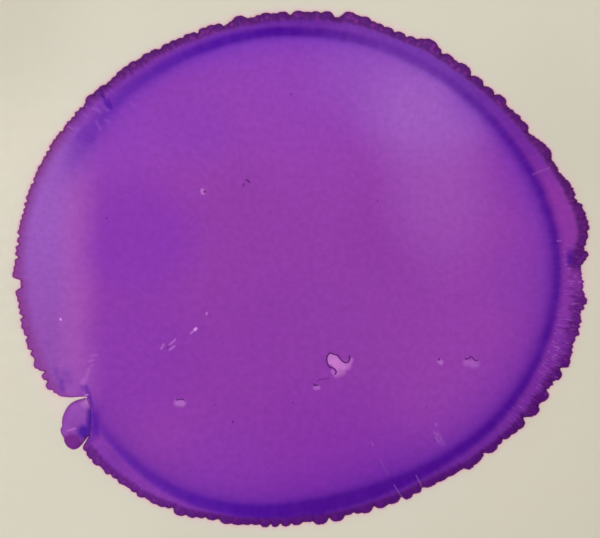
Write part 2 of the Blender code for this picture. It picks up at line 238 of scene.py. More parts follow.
# Slow blue wash inwards from the band: strength, and reach in mm
WASH_SHARE = {
    0: 0.45, 20: 0.52, 35: 0.45, 48: 0.22, 60: 0.2, 72: 0.2, 85: 0.5, 112: 0.52, 130: 0.42, 145: 0.2,
    152: 0, 205: 0, 215: 0.3, 230: 0.42, 260: 0.46, 300: 0.58, 330: 0.5,
}
WASH_REACH = {
    0: 2.3, 20: 2.7, 34: 1.9, 45: 1.3, 90: 1.7, 120: 2, 215: 2.2, 240: 2.6, 275: 3, 300: 3.4, 335: 3,
}
# The plum rim, by angle: depth and softness in mm, and strength, 0 to 1
RIM_DEPTH = {
    0: 1.9, 3: 1.65, 5.5: 1, 8: 0.8, 12: 0.75, 14.5: 0.85, 20: 0.95, 28: 1.1, 40: 1.05, 50: 1.02,
    60: 0.97, 66: 1, 76: 1.02, 84: 1.05, 100: 1.08, 112: 0.96, 120: 0.92, 132: 0.96, 141: 0.88, 144: 0.8,
    148: 0.95, 155: 0.92, 162: 0.8, 180: 0.85, 195: 1, 203: 1.2, 206: 1.4, 209: 2, 219: 1, 225: 0.85,
    235: 0.75, 243: 0.8, 255: 0.9, 270: 0.82, 280: 0.72, 290: 0.82, 300: 0.96, 310: 0.84, 320: 0.88,
    330: 1, 337.3: 1.2, 340.5: 1, 344.5: 0.9, 348: 1.6, 350.6: 1.3, 353: 1.6, 356: 1.5, 359: 1.8,
}
RIM_SOFTNESS = {
    0: 0.4, 20: 0.25, 40: 0.28, 60: 0.18, 80: 0.25, 120: 0.3, 138: 0.35, 146: 0.7, 200: 0.75, 220: 0.25,
    260: 0.18, 300: 0.25, 320: 0.3, 340: 0.45,
}
RIM_STRENGTH = {
    0: 0.6, 1.5: 0.95, 30: 0.97, 60: 0.88, 90: 0.88, 120: 0.95, 140.5: 0.88, 142.3: 0.7, 147: 0.8,
    160: 0.72, 190: 0.68, 205: 0.48, 209: 0.2, 211: 0, 218: 0.15, 219.5: 0.8, 224: 0.7, 235: 0.75,
    250: 0.9, 280: 0.96, 330: 1, 341: 0.95, 343.5: 0.65, 345.2: 0.6, 347.5: 0.92, 349.3: 0.9, 350.7: 0.6,
    352.5: 0.95, 354.2: 0.8, 355.6: 0.35, 358.5: 0.3,
}
# How magenta the beads of the rim are, 0 to 1
BEADS = {
    0: 0.3, 12: 0.3, 30: 0.5, 50: 0.9, 110: 0.8, 135: 0.6, 150: 0.4, 200: 0.4, 225: 0.5, 245: 0.4,
    255: 0.15, 320: 0.1, 335: 0.25,
}
# Fine pale and dark streaks running inwards, 0 to 1
STREAKS = {
    0: 0.9, 2.5: 0.3, 6: 0.12, 60: 0.1, 90: 0.12, 125: 0.25, 138: 0.5, 150: 0.4, 158: 0.15, 200: 0.25,
    225: 0.2, 290: 0.08, 320: 0.12, 336: 0.9, 357: 1,
}
# How warm the space between rim and band is, 0 to 1
WARMTH = {
    0: 0.75, 12: 1, 25: 0.7, 40: 0.3, 60: 0.05, 85: 0.35, 120: 0.35, 150: 0.2, 180: 0.3, 225: 0.55,
    250: 0.5, 280: 0.35, 310: 0.7, 335: 0.85,
}
# Where that space has its own tint, 0 to 1
MID_STRENGTH = {
    0: 0.8, 120: 0.8, 143: 0.3, 150: 0, 205: 0, 220: 0.7, 250: 0.8,
}
# How far the band's colour reaches into that space, 0 to 1
MID_DARK = {
    0: 0.05, 18: 0.08, 26: 0.45, 45: 0.5, 54: 0.3, 78: 0.28, 86: 0.58, 98: 0.55, 108: 0.2, 150: 0, 220: 0,
    224: 0.3, 235: 0.12, 250: 0.25, 265: 0.5, 275: 0.3, 285: 0.4, 296: 0.5, 303: 0.72, 312: 0.58,
    322: 0.5, 335: 0.38, 345: 0.3, 354: 0.12,
}
# Dark strays beside the band: angle, slant in degrees per mm of depth, depth and half
# length in mm, half width in degrees, strength
STRAYS = (
    (139.5, 0.95, 1.5, 1.7, 0.6, 0.85), (139.5, 0.9, 2.1, 0.9, 0.95, 0.9),
    (132.2, 1.85, 1.7, 1, 0.5, 0.45), (125.9, 0, 1.8, 0.5, 0.8, 0.6), (129.3, 0.3, 2, 0.7, 0.6, 0.55),
    (145.2, 0.5, 2.8, 0.8, 0.5, 0.35), (148.5, 0, 2.7, 1.3, 3.4, 0.5), (136.3, 0.6, 2, 0.8, 0.8, 0.55),
    (1.9, 0, 1.35, 1.2, 2.2, 0.95), (217.4, 0, 1.5, 1.9, 1.1, 0.8), (144, 0.9, 2.7, 0.5, 0.6, 0.55),
    (133, 0, 2.2, 0.4, 0.6, 0.4), (126.2, 1.2, 2.3, 0.5, 0.5, 0.45),
)

# Dark marks near the edge, in mm from the bowl's axis: start, end, width, strength
DARK_STROKES = (
    ((-22.4, -12.35), (-22, -13.5), 0.2, 0.7), ((-22, -13.5), (-21.7, -14.7), 0.2, 0.62),
    ((-22.85, -12.3), (-22.6, -12.6), 0.22, 0.45), ((-24.95, -11.75), (-24.9, -12.6), 0.36, 0.55),
    ((-24.5, -11.1), (-24.2, -11.8), 0.6, 0.28), ((-25.55, -10.6), (-25.35, -11.4), 0.3, 0.3),
    ((-21.6, -15.3), (-21.35, -17.1), 0.62, 0.8), ((-22.02, -17.6), (-21.85, -17.8), 0.3, 0.7),
    ((-21.05, 15.7), (-21.6, 15.35), 0.3, 0.4),
)

# Marks on the film, in mm from the bowl's axis. Pale ones: start, end, half
# width, softness and strength
PALE_PATCH = (
    ((3.15, -9.25), (3.15, -9.7), 0.3, 0.22, 0.85), ((3.4, -9.4), (3.7, -10.15), 0.3, 0.3, 0.85),
    ((3.75, -9.75), (4.35, -10.25), 0.28, 0.35, 0.8), ((3.85, -10.45), (4.75, -10.15), 0.15, 0.55, 0.65),
    ((3.75, -11), (4.3, -10.75), 0.05, 0.6, 0.55), ((3.3, -10.75), (3.4, -10.95), 0.05, 0.3, 0.45),
    ((5.25, -9.55), (5.05, -10.05), 0.05, 0.28, 0.5),
)
PALE_MARKS = (
    ((-10.95, -6.32), (-11.05, -6.42), 0.07, 0.15, 0.9),
    ((-11.05, -6.42), (-11.45, -6.78), 0.03, 0.14, 0.36), ((-9.83, -4.78), (-9.8, -4.7), 0.04, 0.14, 0.4),
    ((-13.1, -7.45), (-13.75, -8.08), 0.03, 0.12, 0.28),
    ((-13.18, -8.12), (-13.65, -8.52), 0.04, 0.14, 0.26),
    # The mark at (-10.27, 8.07) is a painted highlight on a small bubble.
    ((-14.3, -7.95), (-14.55, -8.4), 0.03, 0.16, 0.25), ((-10.27, 8.07), (-10.2, 7.85), 0.05, 0.3, 0.42),
    ((1.5, -12.5), (1.8, -12.45), 0.05, 0.3, 0.28), ((-12.85, -14.05), (-12.35, -14.1), 0.1, 0.45, 0.34),
    ((17.3, -9.85), (18.2, -10), 0.05, 0.6, 0.2), ((14.45, -9.75), (14.6, -9.85), 0.05, 0.35, 0.3),
    ((-25.05, -5.3), (-25.02, -5.38), 0.05, 0.1, 0.95), ((8.25, -20), (9.1, -21.55), 0, 0.12, 0.06),
    ((9.7, -22.6), (10.6, -24), 0, 0.11, 0.15), ((12, -21.6), (12.66, -22.95), 0, 0.11, 0.17),
    ((7.35, -18.1), (7.55, -18.5), 0, 0.14, 0.12), ((14.05, -16.2), (14.1, -16.4), 0.02, 0.14, 0.16),
    ((13.8, -17), (13.95, -17.3), 0, 0.14, 0.15), ((14.1, -17.2), (14.2, -17.45), 0, 0.12, 0.18),
    ((14, -17.6), (14.35, -18.1), 0, 0.18, 0.14), ((14.5, -17.6), (14.65, -17.95), 0, 0.12, 0.16),
    ((14.25, -17.3), (14.75, -18.3), 0.05, 0.45, 0.07), ((-21.3, -9.05), (-21.85, -9.2), 0, 0.24, 0.11),
    ((-21.55, -9.55), (-22.1, -9.75), 0, 0.2, 0.13), ((-21.75, -10.15), (-22.2, -10.45), 0, 0.24, 0.11),
    ((-22.1, -10.6), (-22.35, -11.3), 0, 0.34, 0.15), ((-22.45, -11.5), (-22.8, -12), 0, 0.5, 0.15),
    # The next mark is a painted highlight at the top of the gap beside the loose lobe.
    ((-22.2, -13.22), (-22.55, -13.3), 0.02, 0.14, 0.5),
    ((-20.53, 16.68), (-20.08, 16.43), 0, 0.32, 0.08), ((-21.59, 16.63), (-20.86, 16.24), 0, 0.36, 0.07),
    ((-20.4, 15.43), (-20.02, 15.25), 0, 0.3, 0.08), ((-21.29, 15.24), (-20.91, 14.48), 0, 0.3, 0.08),
    ((-24.21, 14.72), (-23.79, 14.46), 0, 0.18, 0.14), ((-17.83, 17.28), (-17.33, 16.92), 0, 0.2, 0.05),
    ((25.87, 10.45), (24.11, 9.74), 0, 0.16, 0.11), ((27.08, 2.85), (26.68, 2.8), 0, 0.12, 0.26),
)
# Raised dark wrinkles: radius, then points
WRINKLES = (
    (0.075, ((4.99, -9.05), (5.1, -9.41), (4.89, -9.78), (4.63, -9.86), (4.32, -9.69), (4.06, -9.41),
        (3.8, -9.1), (3.48, -9), (3.07, -8.86), (2.86, -9), (2.7, -9.31), (2.7, -9.67), (2.81, -10.04),
        (2.96, -10.32), (3.28, -10.38), (3.54, -10.56), (3.66, -10.82), (3.54, -11.13))),
    (0.075, ((1.3, -12.02), (1.46, -12.24), (1.77, -12.14))),
    (0.03, ((3, -11.4), (2.45, -11.55), (1.98, -11.6), (1.6, -11.85))),
    (0.06, ((17.1, -9.42), (17.3, -9.48), (17.53, -9.38), (17.67, -9.24), (17.82, -9.29), (17.95, -9.46),
        (18.19, -9.63), (18.47, -9.57))),
    (0.055, ((-12.85, -13.72), (-12.55, -13.66), (-12.3, -13.66), (-12.1, -13.84))),
    (0.075, ((-5.82, 9.2), (-5.52, 9.1), (-5.28, 8.86))),
    (0.06, ((-5.92, 8.84), (-6.06, 8.47))),
    (0.045, ((-13.6, -8), (-14.05, -8.42))),
)
# Dark dots: place and radius, and how each ball is stretched
DOT_SHAPE = (1, 1.25, 0.5, 1)
DOTS = (
    ((-10.05, 7.95), 0.1), ((14.38, -9.52), 0.11), ((-9, -14.25), 0.06), ((-7.1, -16.02), 0.09),
    ((-1.04, 18.1), 0.07), ((-20.2, 5.2), 0.07), ((-0.83, -14.04), 0.07), ((8, 6.97), 0.06),
    ((13.1, -14.56), 0.07), ((-12.9, -13.72), 0.09), ((17.15, -9.44), 0.09),
)

# The loose lobe's outline, in mm from the bowl's axis
FLAP_OUTLINE = (
    (-22.2, -13.62), (-22.94, -13.66), (-23.64, -13.88), (-24.22, -14.28), (-24.62, -14.86),
    (-24.88, -15.48), (-24.98, -16.05), (-24.97, -16.5), (-25.14, -16.88), (-25.02, -17.36),
    (-24.8, -17.76), (-24.68, -18.26), (-24.34, -18.72), (-23.8, -18.97), (-23.3, -18.84),
    (-22.9, -18.46), (-22.58, -18.06), (-22.26, -17.62), (-21.96, -17.06), (-21.66, -16.25),
    (-21.7, -15.3), (-21.85, -14.5),
)
FLAP_CENTRE = (-23.5, -16.4)
FLAP_GAP = 0.008
FLAP_NEAR = 0.1
FLAP_RINGS = 30

# Dyed fringe of the floor: its rings, from the pool's edge outwards, and its heights
STAIN_STEPS = (-0.3, -0.05, 0, 0.05, 0.1, 0.16, 0.23, 0.32, 0.45)
STAIN_REACH = 0.14
STAIN_TOP = 0.012
STAIN_BOTTOM = 0.004

# Light reaching the film and the pale sheen on it, for choosing pigments
LIGHT_ON_FILM = (0.9, 0.9, 0.89)
SHEEN = 0.006
FILM_SPECULAR = 0.06
# Soft tints of the film: centre, inner and outer radius in mm, strength, colour
TINTS = (
    ((0, 27), 6, 21, 0.8, (142, 67, 180)), ((-19, 14), 2, 9, 0.7, (140, 63, 182)),
    ((-17.5, 3), 3, 9.5, 0.85, (133, 54, 173)), ((-17, -9.5), 3, 9.5, 0.8, (134, 55, 170)),
    ((8, 21), 2, 9.5, 0.45, (145, 88, 191)), ((-2, -13.5), 6, 17, 0.6, (134, 54, 162)),
    ((-11, 14.5), 1, 6, 0.55, (133, 62, 180)), ((7, -6), 3, 12, 0.4, (138, 62, 162)),
    # The pale tint at (13.5, 16.5) is a painted reflection on the film's surface.
    ((13.5, 16.5), 2, 9.5, 0.9, (155, 93, 190)), ((17, 17), 0.5, 3.5, 0.45, (138, 76, 180)),
    ((14.5, 7.5), 1, 8.5, 0.75, (154, 83, 178)), ((15, 2), 1, 7, 0.4, (149, 75, 171)),
    ((3, -22), 4, 13, 0.6, (131, 50, 166)), ((-8, -21), 2, 8, 0.5, (134, 57, 173)),
    ((23, -1), 1, 6, 0.5, (134, 62, 168)),
)

# The frame is FRAME_WIDTH wide at the height of the pool's top
LENS_MM = 70
SENSOR_MM = 36
FRAME_WIDTH = 62.5 * MM
FRAME_CENTRE = (-0.1 * MM, -0.1 * MM)

# Inputs that Graph.surface sets, and vector operations that give one number
SURFACE_INPUTS = ("Base Color", "Roughness", "Specular IOR Level", "Normal")
SCALAR_RESULTS = ('LENGTH', 'DISTANCE', 'DOT_PRODUCT')


def rgb8(red, green, blue):
    """Scene-linear colour of an 8-bit sRGB one, with alpha 1."""
    linear = []
    for value in (red, green, blue):
        share = value / 255
        linear.append(share / 12.92 if share <= 0.04045 else ((share + 0.055) / 1.055) ** 2.4)
    return (*linear, 1)


def dyed(red, green, blue):
    """Pigment that looks like the given 8-bit colour under the studio light and its sheen."""
    pairs = zip(rgb8(red, green, blue), LIGHT_ON_FILM)
    return (*(max((value - SHEEN) / light, 0.001) for value, light in pairs), 1)


def smoothstep(low, high, value):
    t = np.clip((value - low) / (high - low), 0, 1)
    return t * t * (3 - 2 * t)


# ---- material graph
class Graph:
    """Builds one material's nodes from short calls."""

    def __init__(self, name):
        self.material = bpy.data.materials.new(name)
        self.material.use_nodes = True
        self.tree = self.material.node_tree
        self.shader = self.tree.nodes["Principled BSDF"]
        self.place = self.new('ShaderNodeTexCoord').outputs["Object"]

    def new(self, kind, inputs=(), **settings):
        """A node with its settings, and its inputs by name or index."""
        node = self.tree.nodes.new(kind)
        for key, value in settings.items():
            setattr(node, key, value)
        for key, value in dict(inputs).items():
            self.put(node.inputs[key], value)
        return node

    def put(self, socket, value):
        """Link an output to a socket, or set the socket's own value."""
        if isinstance(value, bpy.types.NodeSocket):
            self.tree.links.new(value, socket)
        else:
            socket.default_value = value

    def math(self, operation, *values, clamp=False):
        return self.new('ShaderNodeMath', enumerate(values), operation=operation, use_clamp=clamp).outputs[0]

    def times(self, value, factor):
        return self.math('MULTIPLY', value, factor)

    def most(self, shares):
        total = shares[0]
        for share in shares[1:]:
            total = self.math('MAXIMUM', total, share)
        return total

    def vector(self, operation, *values):
        node = self.new('ShaderNodeVectorMath', enumerate(values), operation=operation)
        return node.outputs[1 if operation in SCALAR_RESULTS else 0]

    def flat(self):
        """The place with its height dropped."""
        return self.vector('MULTIPLY', self.place, (1, 1, 0))

    def x_and_y(self):
        return self.new('ShaderNodeSeparateXYZ', {0: self.place}).outputs[:2]

    def attribute(self, name):
        return self.new('ShaderNodeAttribute', attribute_name=name).outputs["Fac"]

    def noise(self, scale, detail=3, roughness=0.5, place=None, distortion=0):
        place = self.place if place is None else place
        inputs = {"Vector": place, "Scale": scale, "Detail": detail, "Roughness": roughness}
        return self.new('ShaderNodeTexNoise', {**inputs, "Distortion": distortion}).outputs["Fac"]

    def span(self, value, low, high, to_low=0, to_high=1, kind='SMOOTHSTEP'):
        """Value from low to high, mapped to to_low to to_high and clamped."""
        inputs = enumerate((value, low, high, to_low, to_high))
        return self.new('ShaderNodeMapRange', inputs, interpolation_type=kind, clamp=True).outputs[0]

    def mix(self, share, under, over, blend='MIX'):
        settings = {"data_type": 'RGBA', "blend_type": blend, "clamp_factor": True}
        return self.new('ShaderNodeMix', {0: share, 6: under, 7: over}, **settings).outputs[2]

    def tint(self, under, share, strength, over):
        """One colour laid over another by a share times a strength."""
        return self.mix(self.times(share, strength), under, over)

    def specked(self, colour):
        speck = self.span(self.noise(1500, 2, 0.6), 0.3, 0.7, 0.93, 1.06, 'LINEAR')
        return self.mix(1, colour, speck, 'MULTIPLY')

    def bump(self, height, distance, strength, under=None):
        inputs = {"Strength": strength, "Distance": distance, "Height": height}
        if under is not None:
            inputs["Normal"] = under
        return self.new('ShaderNodeBump', inputs).outputs[0]

    def stroke(self, start, end, half_width, soft):
        """1 on a line between two points given in mm, 0 away from it."""
        a, b = (np.array([*point, 0]) * MM for point in (start, end))
        length = float(np.linalg.norm(b - a))
        along = tuple((b - a) / max(length, 1e-9))
        offset = self.vector('SUBTRACT', self.flat(), tuple(a))
        reach = self.math('MAXIMUM', self.vector('DOT_PRODUCT', offset, along), 0)
        held = self.math('MINIMUM', reach, length)
        foot = self.new('ShaderNodeVectorMath', {0: along, 3: held}, operation='SCALE').outputs[0]
        return self.span(self.vector('DISTANCE', offset, foot), (half_width + soft) * MM, half_width * MM)

    def spot(self, centre, radius, soft):
        """1 inside a round spot given in mm, 0 away from it."""
        distance = self.vector('DISTANCE', self.flat(), tuple(np.array([*centre, 0]) * MM))
        return self.span(distance, (radius + soft) * MM, radius * MM)

    def radial(self, turns, depth_scale):
        """Place for noise that runs in fine lines towards the axis."""
        flat = self.flat()
        way = self.vector('MULTIPLY', self.vector('NORMALIZE', flat), (turns, turns, 0))
        lift = self.new('ShaderNodeCombineXYZ', {2: self.times(self.vector('LENGTH', flat), depth_scale)})
        return self.vector('ADD', way, lift.outputs[0])

    def outside_pool(self):
        """Distance from the pool's slow outline in metres, positive outside."""
        x, y = self.x_and_y()
        angle = self.math('ARCTAN2', y, x)
        outline = FILM_RADIUS
        for waves, height, phase in FILM_WAVES:
            wave = self.math('COSINE', self.math('MULTIPLY_ADD', angle, waves, -math.radians(phase)))
            outline = self.math('MULTIPLY_ADD', wave, height, outline)
        return self.math('SUBTRACT', self.vector('LENGTH', self.flat()), outline)

    def surface(self, colour, roughness, specular=None, normal=None):
        """Set the shader's inputs, and give the finished material."""
        for name, value in zip(SURFACE_INPUTS, (colour, roughness, specular, normal)):
            if value is not None:
                self.put(self.shader.inputs[name], value)
        return self.material


# ---- mesh helpers
def add_object(name, data):
    obj = bpy.data.objects.new(name, data)
    bpy.context.scene.collection.objects.link(obj)
    return obj


def baked(obj):
    """An object's mesh with its modifiers applied; the object itself goes."""
    depsgraph = bpy.context.evaluated_depsgraph_get()
    mesh = bpy.data.meshes.new_from_object(obj.evaluated_get(depsgraph), depsgraph=depsgraph)
    mesh.name = obj.name
    bpy.data.objects.remove(obj, do_unlink=True)
    return mesh


def arc(centre, radius, start, end, count):
    """Points along an arc between two angles in degrees, ends included."""
    points = []
    for i in range(count + 1):
        angle = math.radians(start + (end - start) * i / count)
        points.append((centre[0] + radius * math.cos(angle), centre[1] + radius * math.sin(angle)))
    return points


def between(before, here, after, later, t):
    """Point on the smooth curve from here to after, through four points in a row."""
    return 0.5 * (2 * here + (after - before) * t
                  + (2 * before - 5 * here + 4 * after - later) * t ** 2
                  + (3 * here - before - 3 * after + later) * t ** 3)


def turned(name, profile, steps):
    """Turn an open profile of (radius, height) points about Z."""
    mesh = bpy.data.meshes.new(name)
    verts = [(radius, 0, height) for radius, height in profile]
    mesh.from_pydata(verts, [(i, i + 1) for i in range(len(profile) - 1)], [])
    obj = add_object(name, mesh)
    screw = obj.modifiers.new("turn", 'SCREW')
    screw.axis = 'Z'
    screw.steps = steps
    screw.render_steps = steps
    screw.use_merge_vertices = True
    screw.merge_threshold = CURVE_WELD
    return add_object(name, baked(obj))


def new_curve(name, dimensions, bevel, resolution):
    curve = bpy.data.curves.new(name, 'CURVE')
    curve.dimensions = dimensions
    curve.bevel_depth = bevel
    curve.bevel_resolution = resolution
    return curve


def solid_of(name, curve):
    """An object with a curve's mesh, its points joined and its faces looking outwards."""
    mesh = baked(add_object(name, curve))
    bm = bmesh.new()
    bm.from_mesh(mesh)
    bmesh.ops.remove_doubles(bm, verts=bm.verts, dist=CURVE_WELD)
    bmesh.ops.recalc_face_normals(bm, faces=bm.faces)
    bm.to_mesh(mesh)
    bm.free()
    return add_object(name, mesh)


def flat_plate(name, outlines, thickness, edge):
    """A plate with round edges in the XY plane, from closed outlines."""
    curve = new_curve(name, '2D', edge, 5)
    curve.fill_mode = 'BOTH'
    curve.extrude = thickness / 2 - edge
    curve.offset = -edge
    for outline in outlines:
        spline = curve.splines.new('POLY')
        spline.points.add(len(outline) - 1)
        for point, (x, y) in zip(spline.points, outline):
            point.co = (x, y, 0, 1)
        spline.use_cyclic_u = True
    return solid_of(name, curve)


def join_solids(obj, others):
    """Boolean union of one object with others, which are then removed."""
    for other in others:
        boolean = obj.modifiers.new(other.name, 'BOOLEAN')
        boolean.operation = 'UNION'
        boolean.solver = 'EXACT'
        boolean.object = other
    name = obj.name
    mesh = baked(obj)
    for other in others:
        bpy.data.objects.remove(other, do_unlink=True)
    return add_object(name, mesh)


def weld(mesh):
    """Join points that a boolean left almost on top of each other."""
    bm = bmesh.new()
    bm.from_mesh(mesh)
    bmesh.ops.remove_doubles(bm, verts=bm.verts, dist=WELD_REACH)
    bmesh.ops.dissolve_degenerate(bm, edges=bm.edges, dist=WELD_REACH)
    bm.to_mesh(mesh)
    bm.free()


def smooth_shading(mesh, angle):
    mesh.shade_smooth()
    mesh.set_sharp_from_angle(angle=math.radians(angle))


# ---- bowl
def inner_radius(height):
    """Radius of the wall's straight inner face at a height."""
    foot_radius = FLOOR_RADIUS + CORNER_RADIUS * math.cos(LEAN)
    foot_height = FLOOR_TOP + CORNER_RADIUS * (1 - math.sin(LEAN))
    return foot_radius + (height - foot_height) * math.tan(LEAN)


def bead_centre():
    """Centre of the rim bead's round section, flush with the inner face."""
    height = HEIGHT - BEAD_RADIUS
    radius = inner_radius(height + BEAD_RADIUS * math.sin(LEAN)) + BEAD_RADIUS * math.cos(LEAN)
    return radius, height


def filling_mark(level):
    """A low round-topped ring on the wall, from its lower edge up."""
    points = []
    for i in range(MARK_STEPS + 1):
        along = i / MARK_STEPS
        height = level + MARK_HEIGHT * (along - 0.5)
        rise = MARK_RISE * math.sin(math.pi * along) ** 2
        points.append((inner_radius(height) - rise, height))
    return points


def shell_profile():
    """Section of the bowl, from the axis along the inside, over the rim, and back below."""
    corner = (FLOOR_RADIUS, FLOOR_TOP + CORNER_RADIUS)
    points = [(FLOOR_RADIUS * share, FLOOR_TOP) for share in (0, 0.25, 0.5, 0.75)]
    points += arc(corner, CORNER_RADIUS, -90, -WALL_LEAN, 14)
    for level in MARK_LEVELS:
        points += filling_mark(level)
    rim_radius, rim_height = bead_centre()
    points += arc((rim_radius, rim_height), BEAD_RADIUS, 180 - WALL_LEAN, BEAD_END_ANGLE, 24)
    step_out = WALL - BEAD_RADIUS
    outer_radius = rim_radius + step_out * math.cos(LEAN) - BEAD_BLEND * math.sin(LEAN)
    outer_height = rim_height - step_out * math.sin(LEAN) - BEAD_BLEND * math.cos(LEAN)
    points.append((outer_radius, outer_height))
    outer_corner = CORNER_RADIUS + WALL
    foot_angle = -math.degrees(math.acos((FOOT_OUTER - FLOOR_RADIUS) / outer_corner))
    points += arc(corner, outer_corner, -WALL_LEAN, foot_angle, 12)
    foot_height = FOOT_BOTTOM + FOOT_EDGE
    points += arc((FOOT_OUTER - FOOT_EDGE, foot_height), FOOT_EDGE, 0, -90, 5)
    points += arc((FOOT_INNER + FOOT_EDGE, foot_height), FOOT_EDGE, -90, -180, 5)
    return points + [(radius, UNDERSIDE) for radius in (FOOT_INNER, FLOOR_RADIUS / 2, 0)]


def handle_outline():
    """Plan of the handle: rounded end, straight sides, flared root."""
    root_radius, _ = bead_centre()
    fillet_y = HANDLE_HALF_WIDTH + HANDLE_FILLET
    fillet_x = math.sqrt((root_radius + BEAD_RADIUS + HANDLE_FILLET) ** 2 - fillet_y ** 2)
    root_angle = math.degrees(math.atan2(fillet_y, fillet_x))
    upper = arc((fillet_x, fillet_y), HANDLE_FILLET, -90, root_angle - 180, 16)
    points = arc((HANDLE_END - HANDLE_HALF_WIDTH, 0), HANDLE_HALF_WIDTH, -90, 90, 40)
    points += upper
    points += arc((0, 0), root_radius, root_angle, -root_angle, 16)
    return points + [(x, -y) for x, y in reversed(upper)]


def handle_web():
    """Stiffening web under the handle, from the wall to past its middle."""
    _, top = bead_centre()
    wall_middle = 0.5 * WALL / math.cos(LEAN)
    outline = [(inner_radius(top) + wall_middle, top), (inner_radius(WEB_LOW_Z) + wall_middle, WEB_LOW_Z)]
    start_x = inner_radius(WEB_LOW_Z) + 2 * wall_middle
    for i in range(WEB_STEPS + 1):
        along = i / WEB_STEPS
        x = start_x + (WEB_END_X - start_x) * along
        outline.append((x, WEB_LOW_Z + (top - WEB_LOW_Z) * (1 - (1 - along) ** 2)))
    web = flat_plate("web", [outline], WEB_THICKNESS, WEB_EDGE)
    web.rotation_euler.x = math.radians(90)
    return web


def grip_bar(x):
    """A raised bar with round ends for the thumb."""
    _, bead_height = bead_centre()
    curve = new_curve("grip_bar", '3D', GRIP_BAR_RADIUS, 6)
    curve.use_fill_caps = True
    spline = curve.splines.new('POLY')
    last = 2 * GRIP_BAR_STEPS + 1
    spline.points.add(last)
    for i in range(GRIP_BAR_STEPS + 1):
        angle = 0.5 * math.pi * i / GRIP_BAR_STEPS
        y = GRIP_BAR_HALF_LENGTH + GRIP_BAR_RADIUS * math.cos(angle)
        for index, side in ((i, 1), (last - i, -1)):
            spline.points[index].co = (x, side * y, 0, 1)
            spline.points[index].radius = max(math.sin(angle), 0.08)
    bar = solid_of("grip_bar", curve)
    bar.location.z = bead_height + HANDLE_THICKNESS / 2 + GRIP_BAR_RISE - GRIP_BAR_RADIUS
    return bar


def ivory_material(name, dye=None):
    """Satin cream polypropylene with a painted pinkish glow of light round the pool, a patch of painted
    shade near (-34, 28) mm, and dye where a mask says so.
    """
    g = Graph(name)
    cloud = g.span(g.noise(28, 2), 0.35, 0.65)
    warm = g.span(g.noise(60, 3, 0.55), 0.45, 0.75)
    colour = g.mix(cloud, rgb8(213, 208, 192), rgb8(217, 213, 197))
    colour = g.tint(colour, warm, 0.35, rgb8(222, 208, 194))
    # Painted shade: a soft darker patch of the floor near (-34, 28) mm.
    colour = g.tint(colour, g.spot((-34, 28), 4, 13), 0.8, rgb8(203, 197, 182))
    # Painted light: a pale pinkish glow on the floor within 0.9 mm of the pool's outline.
    painted_glow = g.span(g.outside_pool(), 0.9 * MM, 0.1 * MM, 0, 0.25)
    colour = g.mix(painted_glow, colour, rgb8(236, 204, 208))
    if dye:
        uneven = g.span(g.noise(1400, 2), 0.3, 0.7, 0.75, 1)
        colour = g.tint(colour, g.attribute(dye), uneven, rgb8(234, 150, 198))
    scuffs = g.span(g.noise(900, 4, 0.65), 0.3, 0.7, 0.4, 0.52)
    ripple = g.bump(g.noise(45, 1, 0.4), 0.1 * MM, 0.5)
    grain = g.bump(g.noise(2600, 3, 0.6), 0.02 * MM, 0.35, ripple)
    return g.surface(colour, scuffs, 0.35, grain)


def bowl():
    shell = turned("bowl", shell_profile(), TURN_STEPS)
    hole = arc((HANG_HOLE_X, 0), HANG_HOLE_RADIUS, 360, 7.5, 47)
    plate = flat_plate("plate", [handle_outline(), hole], HANDLE_THICKNESS, HANDLE_EDGE)
    plate.location.z = bead_centre()[1]
    bars = [grip_bar(x) for x in GRIP_BAR_X]
    shell = join_solids(shell, [plate, handle_web(), *bars])
    weld(shell.data)
    smooth_shading(shell.data, 32)
    shell.data.materials.clear()
    shell.data.materials.append(ivory_material("ivory_polypropylene"))
    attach(shell, "root")
    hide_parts("bowl_shell")


# ---- pad
def pad_material():
    """Matt dark rubber with a fine grain and patches of dust."""
    g = Graph("pad_rubber")
    patch = g.noise(70, 4, 0.6)
    colour = g.mix(g.span(patch, 0.4, 0.7), rgb8(60, 54, 62), rgb8(74, 67, 75))
    dust = g.span(g.noise(420, 5, 0.7), 0.55, 0.8, 0, 0.35)
    colour = g.mix(dust, colour, rgb8(120, 112, 108))
    grain = g.bump(g.noise(1800, 4, 0.6), 0.05 * MM, 0.6)
    return g.surface(colour, g.span(patch, 0.3, 0.7, 0.62, 0.8), normal=grain)


def pad():
    points = [(0, PAD_TOP), (PAD_RADIUS / 2, PAD_TOP)]
    points += arc((PAD_RADIUS - PAD_EDGE / 2, PAD_TOP - PAD_EDGE / 2), PAD_EDGE / 2, 90, 0, 4)
    points += arc((PAD_RADIUS - PAD_EDGE, PAD_EDGE), PAD_EDGE, 0, -90, 6)
    for radius in GROOVE_RADII:
        for i in range(GROOVE_STEPS + 1):
            along = i / GROOVE_STEPS
            height = GROOVE_DEPTH * math.sin(math.pi * along) ** 0.5
            points.append((radius + GROOVE_HALF_WIDTH * (1 - 2 * along), height))
    points.append((0, 0))
    piece = turned("non_slip_pad", points, PAD_STEPS)
    smooth_shading(piece.data, 35)
    piece.data.materials.append(pad_material())
    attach(piece, "root")
    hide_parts("base_pad")


# ---- pool
def read_ring(table, degrees):
    """Values at the given angles from a table that closes on itself."""
    return np.interp(degrees, list(table), list(table.values()), period=360)


def around(table, degrees, blur=2):
    """A table's values as a smooth curve on an even ring of angles; the blur is in degrees."""
    line = read_ring(table, degrees)
    count = len(degrees)
    turns = np.minimum(np.arange(count), count - np.arange(count))
    weights = np.exp(-0.5 * (turns / (blur * count / 360)) ** 2)
    weights /= weights.sum()
    return np.real(np.fft.ifft(np.fft.fft(line) * np.fft.fft(weights)))


def slow_outline(degrees):
    """The pool's outline without its lobes, in mm."""
    radius = np.full(len(degrees), FILM_RADIUS / MM)
    for waves, height, phase in FILM_WAVES:
        radius += height / MM * np.cos(np.radians(waves * degrees - phase))
    return radius


